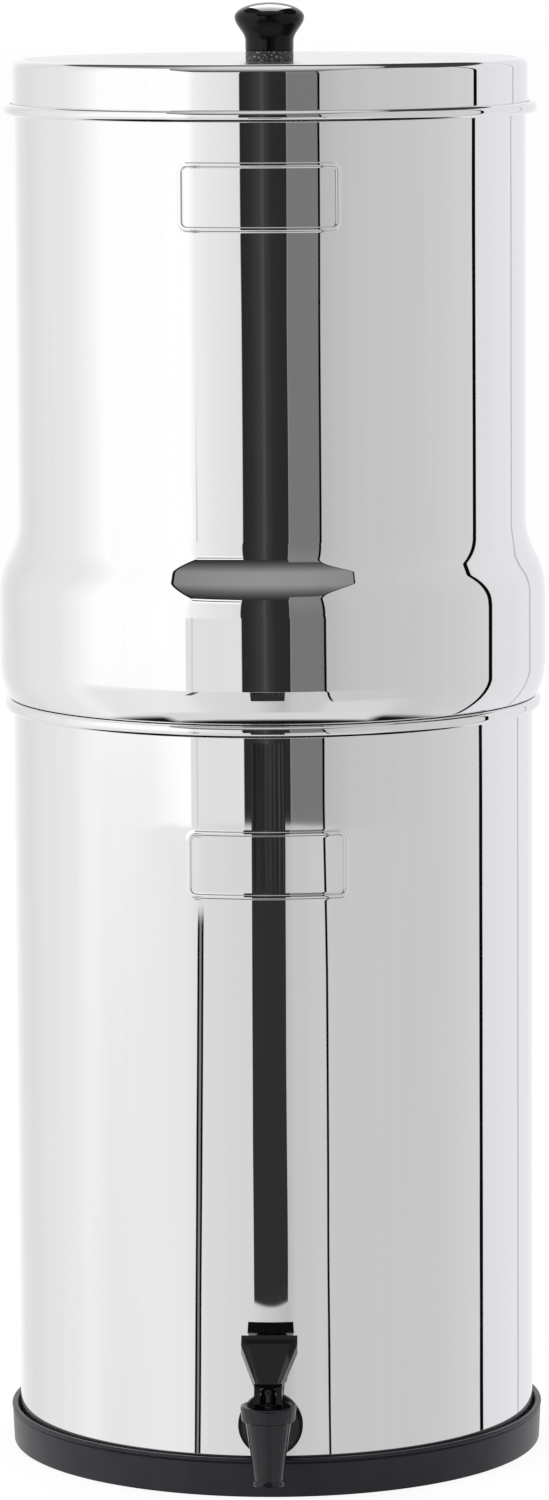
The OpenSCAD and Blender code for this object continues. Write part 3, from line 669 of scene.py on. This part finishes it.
def tap_handle():
    travel, lift, pin_up, gap = 45.0, 4.0, 5.6, 0.3
    width, foot_w, length, end_len, thick, slope = 28.7, 12.6, 38.2, 7.5, 5.9, 27.7
    edge, panel, leg_t, fork_in = 4.0, 1.3, 3.0, 4.05
    plate_y, plate_z, heel_y, heel_bevel, root_r = -4.0, 6.0, 4.5, 2.0, 4.8

    def foot_point(tilt):
        reach = pin_up - gap + lift / travel * tilt
        side = lift / radians(travel)
        a = radians(tilt)
        return (-reach * sin(a) - side * cos(a), -reach * cos(a) + side * sin(a))

    def plate_outline(inset, low=0.0, high=0.0):
        foot, end, taper = foot_w / 2 - 0.45 * inset, width / 2 - inset, length - end_len
        top = length - high
        return [(-foot, low), (foot, low), (end, taper), (end, top), (-end, top), (-end, taper)]

    hinge = Matrix.Translation((0, SPOUT_Y * MM, PIN_Z * MM))
    lean = hinge @ Matrix.Translation((0, plate_y * MM, plate_z * MM)) \
        @ Matrix.Rotation(radians(slope), 4, "X")
    plate = block(plate_outline(0), -thick, lean)
    floor_outline, rim_outline = plate_outline(edge, 1.8, 5.4), plate_outline(1.1, 0.7, 3.2)
    spare = 1.0
    grow = (panel + spare) / panel
    mouth = [(x + (u - x) * grow, y + (v - y) * grow)
             for (x, y), (u, v) in zip(floor_outline, rim_outline)]
    down = lean @ Matrix.Translation((0, 0, -panel * MM))
    sunk = block(floor_outline, panel + spare, down, mouth)
    feet = [foot_point(travel * i / 12) for i in range(12, -1, -1)]
    heel = [(heel_y, feet[-1][1]), (heel_y + heel_bevel, feet[-1][1] + heel_bevel)]
    leg = feet + heel + [(heel_y + heel_bevel, 5.4), (-2, 5.8), (-4.3, 4.6)]
    upright = Matrix(((0, 0, 1, 0), (1, 0, 0, 0), (0, 1, 0, 0), (0, 0, 0, 1)))
    legs = [block(leg, leg_t, hinge @ Matrix.Translation((x * MM, 0, 0)) @ upright)
            for x in (fork_in, -fork_in - leg_t)]
    root = rod((-fork_in, SPOUT_Y, PIN_Z), (fork_in, SPOUT_Y, PIN_Z), root_r, ROOT_STEPS)
    piece = fused("tap_lever", [plate, *legs], [sunk, root], 14)
    place(piece, "handle", "handle_plastic", HANDLE_PLASTIC, "tap_handle")


# ---- Filters ----

def filters():
    edge, core_r, top = 4.0, 9.0, 20.0
    for i in (1, 2, 3, 4):
        low, high = box_mm(f"filter_element_{i}")
        middle = ((low.x + high.x) / 2, (low.y + high.y) / 2)
        r = (high.x - low.x) / 2
        outline = [(core_r, low.z), (r - 0.3, low.z), (r, low.z + 0.3)]
        outline += arc(r - edge, high.z - edge, edge, 0, 90, 8)
        outline += [(0, high.z), (0, high.z - top), (core_r, high.z - top)]
        piece = lathe(f"carbon_filter_{i}", ruled(outline), FILTER_STEPS, centre=middle,
                      sharp=35)
        place(piece, "upper_vessel", "filter_carbon", CARBON, f"filter_element_{i}")


# ---- Studio ----

def between(value, low, high, soft=0.3):
    """1 between low and high and 0 outside them, with soft edges."""
    return value.step(low - soft, low + soft) * value.step(high + soft, high - soft)


TABLE_EDGE = -8.2        # where the cards end and the table begins, in degrees from level


def studio_world():
    """White to the camera, plain light on matt surfaces, and the studio's cards in the steel."""
    world = bpy.data.worlds.new("studio")
    world.cycles.sampling_method = "NONE"
    bpy.context.scene.world = world
    s = Shade(world)
    way = s.node("ShaderNodeTexCoord", out="Generated")
    parts = s.node("ShaderNodeSeparateXYZ", {}, {"Vector": way}).socket.node.outputs
    x, y, z = (Link(s, part) for part in parts)
    height = z.math("ARCSINE", z) * degrees(1)
    lean = ((0 - height - 3) * 0.1).most(0).least(0.6) + 0.45
    across = x.math("ARCTAN2", x, 0 - y) * degrees(1) - lean
    lower = (0 - height - 8).most(0)
    upper = (height - 22).most(0)

    # The walls all round, and the lighter and darker cards before the object
    cool = (0.985, 0.985, 1.02)
    walls = [(-180, 240), (-165, 238), (-152, 224), (-138, 219), (-122, 227), (-100, 232),
             (-88, 244), (-80, 254), (-30, 255), (23, 184), (36, 193), (70, 199), (100, 208),
             (104, 210), (106, 222), (136, 228), (155, 227), (170, 233), (180, 240)]
    wall = across.ramp(-180, 180, [(a, tone(v, cool if a > 105 else (1, 1, 1))) for a, v in walls])
    panel = across.ramp(-36, -12, [(-36, tone(254)), (-33, tone(238)), (-25, tone(230)),
                                   (-12, tone(221))])
    panel = s.mix(height.step(-5.5, -6.5), panel, colour(223))
    wall = s.mix(between(across, -36, -12.6), wall, panel)
    wall = s.mix(abs(across + 33.2).step(0.5, 0.2) * height.step(-4, -6), wall, colour(205))
    dark = across.ramp(-13, 9, [(-12.5, tone(38)), (-8, tone(46)), (-4, tone(60)), (-2.5, tone(74)),
                                (-1.5, tone(58)), (1.5, tone(44)), (5, tone(42)), (8.5, tone(40))])
    wall = s.mix(between(across, -12.4, 8.1), wall, dark)
    wall = s.mix(between(across, 8.1, 22.4), wall, s.mix(height.step(-8, 24), colour(117),
                                                         colour(127)))

    # Below the cards: the pale table, darker to the right, and a thin strip at the left
    apron = height.ramp(-14, -8, [(-14, tone(230)), (-10, tone(235)), (-8, tone(241))])
    wall = s.mix(between(across, -88, -48, 10) * height.step(-6.5, -8), wall, apron)
    table = across.ramp(-60, 60, [(-60, tone(234)), (-40, tone(232)), (-30, tone(218)),
                                  (-10, tone(212)), (5, tone(184)), (9, tone(196)),
                                  (20, tone(201)), (30, tone(197)), (60, tone(200))])
    below = height.step(TABLE_EDGE + 0.02, TABLE_EDGE - 0.02) * between(across, -60, 60, 12)
    table = s.mix(height.step(-20, -26) * across.step(20, 26), table, colour(212))
    table = s.mix(height.step(-38, -42), table, colour(214))
    table = s.mix(height.step(-50, -56), table, colour(20))
    wall = s.mix(below, wall, table)
    beside_foot = height.step(-42, -49) * abs(across).step(52, 62)
    wall = s.mix(beside_foot.most(height.step(-51, -57)), wall, colour(20))
    strip_at = (height + 9) * 0.75 - 32.0
    strip = abs(across - strip_at).step(1.5, 1.3) * between(height, -14, -9, 0.1)
    core = abs(across - strip_at).step(0.3, 0.6)
    wall = s.mix(strip, wall, s.mix(core, colour(128), colour(6)))

    # The dark ceiling, lowest over the front and at the back, and paler right overhead
    edges = [(-180, 35), (-150, 35), (-128, 41), (-100, 52), (-40, 60), (24, 60), (38, 52),
             (80, 46), (92, 35), (110, 32), (150, 34), (180, 35)]
    edge = across.ramp(-180, 180, [(a, (h / 90,) * 3) for a, h in edges]) * 90
    skies = [(-180, 64), (-140, 84), (-100, 150), (-60, 188), (-36, 140), (30, 76), (80, 62),
             (150, 56), (180, 60)]
    sky = across.ramp(-180, 180, [(a, tone(v)) for a, v in skies])
    wall = s.mix((height - edge).step(-1.2, 1.2), wall, sky)
    seam_at = 22.4 + lower.least(1.5) * 0.65 + lower * lower * 0.012 + upper * upper * 0.048
    ceiling_left = -34 - upper * 0.85
    ceiling = (across - ceiling_left).step(-0.3, 0.3) * (seam_at - across).step(-0.3, 0.3)
    roof = height.ramp(20, 70, [(20, tone(40)), (24, tone(50)), (28, tone(69)), (35, tone(102)),
                                (42, tone(134)), (50, tone(158)), (60, tone(190)),
                                (70, tone(208))])
    start = 22.6 + across.step(8.0, 8.6) * 4.5
    wall = s.mix(ceiling * (height - start).step(-0.4, 0.4), wall, roof)
    left = between(across, -34, -12.6, 0.4)
    wall = s.mix(left * between(height, 16.6, 22.2), wall, colour(255))

    # Thin lines where the cards meet
    trim = abs(across - ceiling_left).step(1.0, 0.5) * height.step(22, 22.4)
    trim = trim.most(left * (abs(height - 19.6).step(0.8, 0.5)))
    trim = trim.most(left * (abs(height - 23.2).step(0.8, 0.5)))
    trim = trim.most(abs(across - seam_at).step(0.6, 0.4) * height.step(60, 50)
                     * height.step(-26, -20))
    thick = abs(across - (104.5 - height * 0.05)).step(1.35, 1.1) * height.step(34, 30)
    thin = abs(across - 139.5).step(1.1, 0.6) * 0.35
    wall = s.mix(trim.most(thick).most(thin), wall, colour(8))
    wall = s.mix(height.step(60, 80), wall, colour(208))

    rays = s.node("ShaderNodeLightPath").socket.node.outputs
    seen = Link(s, rays["Is Camera Ray"]).most(Link(s, rays["Is Transmission Ray"]))
    glossy = Link(s, rays["Is Glossy Ray"])
    plain = s.mix(glossy, colour(226), wall)
    power = 1 + glossy * (STEEL_GAIN - 1)
    light = s.node("ShaderNodeBackground", {}, {"Color": s.mix(seen, plain, (1, 1, 1, 1)),
                                                "Strength": power})
    s.node("ShaderNodeOutputWorld", {}, {"Surface": light})


def stand():
    """The narrow dark stand before the tap, which only the steel sees."""
    reach, left, right, low, high, fade = 1.9, -8.0, 6.2, -0.286, 0.16, 0.004
    bm = bmesh.new()
    corners = [(reach * sin(radians(a)), -reach * cos(radians(a)), z)
               for a, z in ((left, low), (right, low), (right, high), (left, high))]
    bm.faces.new([bm.verts.new(corner) for corner in corners])
    piece = finished("stand_card", bm)
    finish = bpy.data.materials.new("stand_dark")
    s = Shade(finish)
    cool = (0.98, 0.96, 1.03)
    cloud, streaks = s.noise(3.0, 2.0), s.noise(18.0, 2.0, 0.6, (1, 1, 0.05))
    glow = s.mix(cloud, colour(44, cool), colour(49, cool))
    up = s.node("ShaderNodeSeparateXYZ", {}, {"Vector": s.spot()}, "Z")
    upper = s.mix(streaks.step(0.35, 0.7), colour(28), colour(66))
    glow = s.mix(up.step(0.03, 0.06), glow, upper)
    glow = s.mix(up.step(low + fade, low), glow, colour(206))
    lit = s.node("ShaderNodeEmission", {}, {"Color": glow, "Strength": STEEL_GAIN})
    s.node("ShaderNodeOutputMaterial", {}, {"Surface": lit})
    piece.data.materials.append(finish)
    piece.visible_camera = piece.visible_diffuse = piece.visible_shadow = False


def floor():
    """A white floor that keeps a soft shadow and lets the steel see the studio below it."""
    size, glow, even = 30.0, 1.03, 0.86      # even is its share of light without shadow
    bm = bmesh.new()
    bmesh.ops.create_grid(bm, x_segments=1, y_segments=1, size=size)
    piece = finished("floor", bm)
    finish = bpy.data.materials.new("floor_white")
    s = Shade(finish)
    rays = s.node("ShaderNodeLightPath").socket.node.outputs
    matt = s.node("ShaderNodeBsdfDiffuse", {}, {"Color": colour(250)})
    lit = s.node("ShaderNodeEmission", {}, {"Color": (1, 1, 1, 1), "Strength": glow})
    clear = s.node("ShaderNodeBsdfTransparent", {})
    camera = Link(s, rays["Is Camera Ray"])
    glossy = Link(s, rays["Is Glossy Ray"])
    pale = s.node("ShaderNodeMixShader", {}, {0: camera * even, 1: matt, 2: lit})
    whole = s.node("ShaderNodeMixShader", {}, {0: glossy, 1: pale, 2: clear})
    s.node("ShaderNodeOutputMaterial", {}, {"Surface": whole})
    piece.data.materials.append(finish)


def lamp(name, at, aim, size, power):
    """A soft square lamp at a point, turned to another, both in metres."""
    data = bpy.data.lights.new(name, "AREA")
    data.size, data.energy = size, power
    light = bpy.data.objects.new(name, data)
    light.location = at
    light.rotation_euler = (Vector(aim) - Vector(at)).to_track_quat("-Z", "Y").to_euler()
    light.visible_camera = light.visible_glossy = False
    bpy.context.scene.collection.objects.link(light)
    return light


def knob_lamp(piece):
    """A large softbox above and behind, which lights the knob alone and whitens its cap."""
    width, height, power = 0.75, 1.46, 33
    light = lamp("knob_lamp", (0, 0.839, 2.004), (0, 0, 0.76), width, power)
    light.data.shape, light.data.size_y = "RECTANGLE", height
    light.visible_glossy, light.visible_diffuse = True, False
    only = bpy.data.collections.new("knob_only")
    only.objects.link(piece)
    light.light_linking.receiver_collection = only


def camera():
    """The photograph's camera, before the tap, slightly above the lid and leaning a little."""
    distance, height, azimuth, pitch = 3.435, 0.824, 1.35, 7.54
    yaw, roll = -0.011, -0.307
    data = bpy.data.cameras.new("camera")
    data.sensor_width, data.lens = 36.0, 157.4
    data.clip_start, data.clip_end = 0.1, 100
    view = bpy.data.objects.new("camera", data)
    turn = radians(azimuth)
    where = Matrix.Translation((distance * sin(turn), -distance * cos(turn), height))
    view.matrix_world = where @ Matrix.Rotation(turn + radians(yaw), 4, "Z") \
        @ Matrix.Rotation(radians(90 - pitch), 4, "X") @ Matrix.Rotation(radians(roll), 4, "Z")
    bpy.context.scene.collection.objects.link(view)
    bpy.context.scene.camera = view


def dress(material, *nodes):
    """Gives the CAD nodes that stay their finish."""
    for node in nodes:
        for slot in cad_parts[node].material_slots:
            slot.material = material


camera()
studio_world()
floor()
stand()
lamp("left_lamp", (-2.2, -1.8, 2.2), (0, 0, 0.4), 1.6, 34)
lamp("top_lamp", (0.3, 0.9, 3.0), (0, 0, 0.4), 1.8, 26)

base_ring()
lower_chamber()
upper_chamber()
lid()
knob_lamp(knob())
tap_body()
tap_bonnet()
tap_stem()
tap_seat()
tap_handle()
filters()
dress(GASKET_RUBBER, "tap_outer_gasket", "tap_inner_gasket", "filter_washers", "plug_washers")
dress(NUT_PLASTIC, "tap_nut", "filter_wing_nuts", "plug_wing_nuts")
dress(FITTING_PLASTIC, "blocking_plugs", *(f"filter_base_{number}" for number in (1, 2, 3, 4)))
dress(SMALL_STEEL, "tap_pin", "knob_screw", "screw_washer")

bpy.context.scene.view_settings.view_transform = "Standard"
